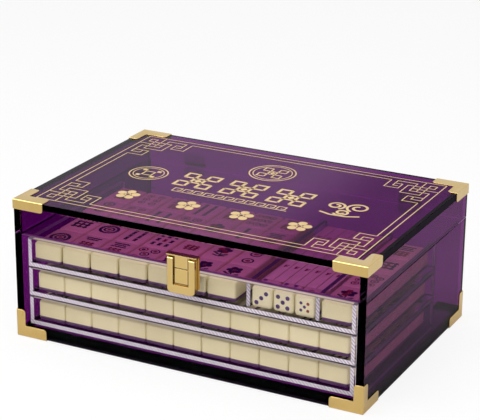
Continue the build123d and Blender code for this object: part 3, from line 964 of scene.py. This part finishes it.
def coin(bm, look):  # a round coin with a square middle and four leaves
    x, y = look["place"]
    rings(bm, look)
    s = look["radius"] * look["square"]
    ribbon(bm, [(x - s, y - s), (x + s, y - s), (x + s, y + s), (x - s, y + s)], look["line"], True)
    root, middle, tip, wide = (look["radius"] * share for share in look["leaf"])
    for k in range(4):
        c, d = (turn(math.pi / 2 * k + math.pi / 4) for turn in (math.cos, math.sin))
        leaf = ((root, 0), (middle, wide), (tip, 0), (middle, -wide))
        patch(bm, [(x + c * out + d * off, y + d * out - c * off) for out, off in leaf])


def cloud(bm, look):  # three scrolls on a tail
    (x, y), size, steps = look["place"], look["size"], look["steps"]
    for middleX, middleY, radius, start, turns in look["scrolls"]:
        points = []
        for t in [k / steps for k in range(steps + 1)]:
            a = start * math.pi + turns * 2 * math.pi * t
            reach = radius * (1 - look["inward"] * t)
            place = middleX + reach * math.cos(a), middleY + reach * math.sin(a)
            points.append((x + place[0] * size, y + place[1] * size))
        ribbon(bm, points, look["line"])
    ribbon(bm, [(x + u * size, y + v * size) for u, v in look["tail"]], look["line"])


def meander(bm, look):  # a band of square hooks on a line
    (x, y), height = look["place"], look["height"]
    low, high, dip = y - height / 2, y + height / 2, y - height * look["dip"]
    pitch = height * look["pitch"]
    count = int(look["length"] // pitch)
    start = x - count * pitch / 2
    far, near = (pitch * share for share in look["hook"])
    for left in [start + k * pitch for k in range(count)]:
        hook = [(0, low), (0, high), (far, high), (far, dip), (near, dip)]
        ribbon(bm, [(left + off, level) for off, level in hook], look["line"])
    ribbon(bm, [(start, low), (start + count * pitch, low)], look["line"])


def blossom(bm, x, y, look):  # five round petals about a small ring
    radius, sides = look["radius"], look["sides"]
    for k in range(5):
        a = 2 * math.pi * k / 5 + math.pi / 2
        u, v = (radius * look["reach"] * part for part in (math.cos(a), math.sin(a)))
        patch(bm, disc(x + u, y + v, radius * look["petal"], sides))
    ribbon(bm, disc(x, y, radius * look["heart"], sides), radius * look["line"], True)


motifMesh = bmesh.new()
medallion = motifs["medallion"]
rings(motifMesh, medallion)
knot(motifMesh, *medallion["place"], medallion["radius"] * medallion["knot"], medallion["line"])
coin(motifMesh, motifs["coin"])
cloud(motifMesh, motifs["cloud"])
for x, y in motifs["knots"]["places"]:
    knot(motifMesh, x, y, motifs["knots"]["size"], motifs["knots"]["line"])
meander(motifMesh, motifs["meander"])
for x, y in motifs["blossoms"]["places"]:
    blossom(motifMesh, x, y, motifs["blossoms"])
finishPiece("lid_motif_print", motifMesh, {
    "body": "lid", "slot": "gold_metal", "materials": [foil],
}, printLayout["smooth"])
print("motifs ready")

# Floor, which shows as white but keeps the case's shadow, with a painted shadow under and round the
# case where the floor is seen through the glass and in reflections

floorMake = {
    "size": 6.0, "cuts": 8, "drop": -0.0003, "share": 0.84,
    "case": (0.185, 0.125, 10), "reach": 0.14,  # half the case, and how far the painted shadow spreads
    "look": {
        "colours": ((0.80, 0.80, 0.80), (0.82, 0.82, 0.82)), "scale": 3.0,
        "roughness": (0.55, 0.65), "shine": 0.2, "bump": 0.01,
    },
}


def vectorMaths(tree, operation, *values, output=0):
    inputs = dict(enumerate(values))
    return addNode(tree, "ShaderNodeVectorMath", inputs, operation=operation).outputs[output]


def paleShareOutsidePaintedShadow(tree):  # how much of the floor's own white is seen; it fades to none under the case, a painted shadow seen through the glass and in reflections
    off = vectorMaths(tree, "ABSOLUTE", coordsOf(tree))
    off = vectorMaths(tree, "SUBTRACT", off, floorMake["case"])
    off = vectorMaths(tree, "MAXIMUM", off, (0, 0, 0))
    away = vectorMaths(tree, "LENGTH", off, output="Value")
    spread = {"From Min": 0.0, "From Max": floorMake["reach"]}
    rise = ranged(tree, away, spread, interpolation_type="SMOOTHSTEP")
    rays = addNode(tree, "ShaderNodeLightPath").outputs
    bent = maths(tree, "MULTIPLY", largest(
        tree, rays["Is Transmission Ray"], rays["Is Glossy Ray"]), rise)
    return maths(tree, "MULTIPLY", largest(tree, rays["Is Camera Ray"], bent), floorMake["share"])


floorMaterial = solidLook("pale_floor", floorMake["look"])
tree = floorMaterial.node_tree
floorOut = next(node for node in tree.nodes if node.type == "OUTPUT_MATERIAL")
floorShader = next(node for node in tree.nodes if node.type == "BSDF_PRINCIPLED")
paper = addNode(tree, "ShaderNodeEmission", {"Color": (1, 1, 1, 1), "Strength": 1.0})
floorMix = mixed(tree, paleShareOutsidePaintedShadow(tree), floorShader.outputs["BSDF"], paper.outputs["Emission"])
tree.links.new(floorMix, floorOut.inputs["Surface"])
floorMesh = bmesh.new()
cuts = floorMake["cuts"]
bmesh.ops.create_grid(floorMesh, x_segments=cuts, y_segments=cuts, size=floorMake["size"])
floorData = bpy.data.meshes.new("floor")
floorMesh.to_mesh(floorData)
floorMesh.free()
floorData.materials.append(floorMaterial)
floor = bpy.data.objects.new("floor", floorData)
collection.objects.link(floor)
floor.location.z = floorMake["drop"]

# World, dim on the case and white where it is seen

worldMake = {"light": 0.5, "seen": 1.0}
world = bpy.data.worlds.new("studio")
bpy.context.scene.world = world
world.use_nodes = True
sky = world.node_tree
sky.nodes.clear()
rays = addNode(sky, "ShaderNodeLightPath").outputs
seen = largest(sky, rays["Is Camera Ray"], rays["Is Transmission Ray"], rays["Is Glossy Ray"])
dim, white = (
    addNode(sky, "ShaderNodeBackground", {"Color": (1, 1, 1, 1), "Strength": worldMake[key]})
    for key in ("light", "seen"))
addNode(sky, "ShaderNodeOutputWorld", {
    "Surface": mixed(sky, seen, dim.outputs[0], white.outputs[0])})

# Lamps and camera

aim = Vector((0, 0, 0.08))
lamps = {  # place, side and power
    "key_lamp": ((-0.85, -0.85, 1.65), 1.0, 18),
    "front_lamp": ((-0.3, -2.0, 0.9), 1.2, 13),
    "fill_lamp": ((1.3, -0.8, 1.0), 0.9, 9),
    "top_lamp": ((0.0, 0.4, 1.7), 1.2, 7.5),
}
for name, (place, side, power) in lamps.items():
    data = bpy.data.lights.new(name, "AREA")
    data.shape = "RECTANGLE"
    data.size = data.size_y = side
    data.energy = power
    lamp = bpy.data.objects.new(name, data)
    collection.objects.link(lamp)
    lamp.location = place
    lamp.rotation_euler = (aim - Vector(place)).to_track_quat("-Z", "Y").to_euler()

view = {
    "place": (0.7213, -1.41546, 0.7061), "turn": (69.83, -0.422, 27.291),
    "lens": 130.31, "sensor": 36,
}
camera = bpy.data.objects.new("camera", bpy.data.cameras.new("camera"))
collection.objects.link(camera)
camera.location = view["place"]
camera.rotation_euler = [math.radians(angle) for angle in view["turn"]]
camera.data.lens = view["lens"]
camera.data.sensor_width = view["sensor"]
bpy.context.scene.camera = camera
bpy.context.scene.view_settings.view_transform = "Standard"
print("stage ready")
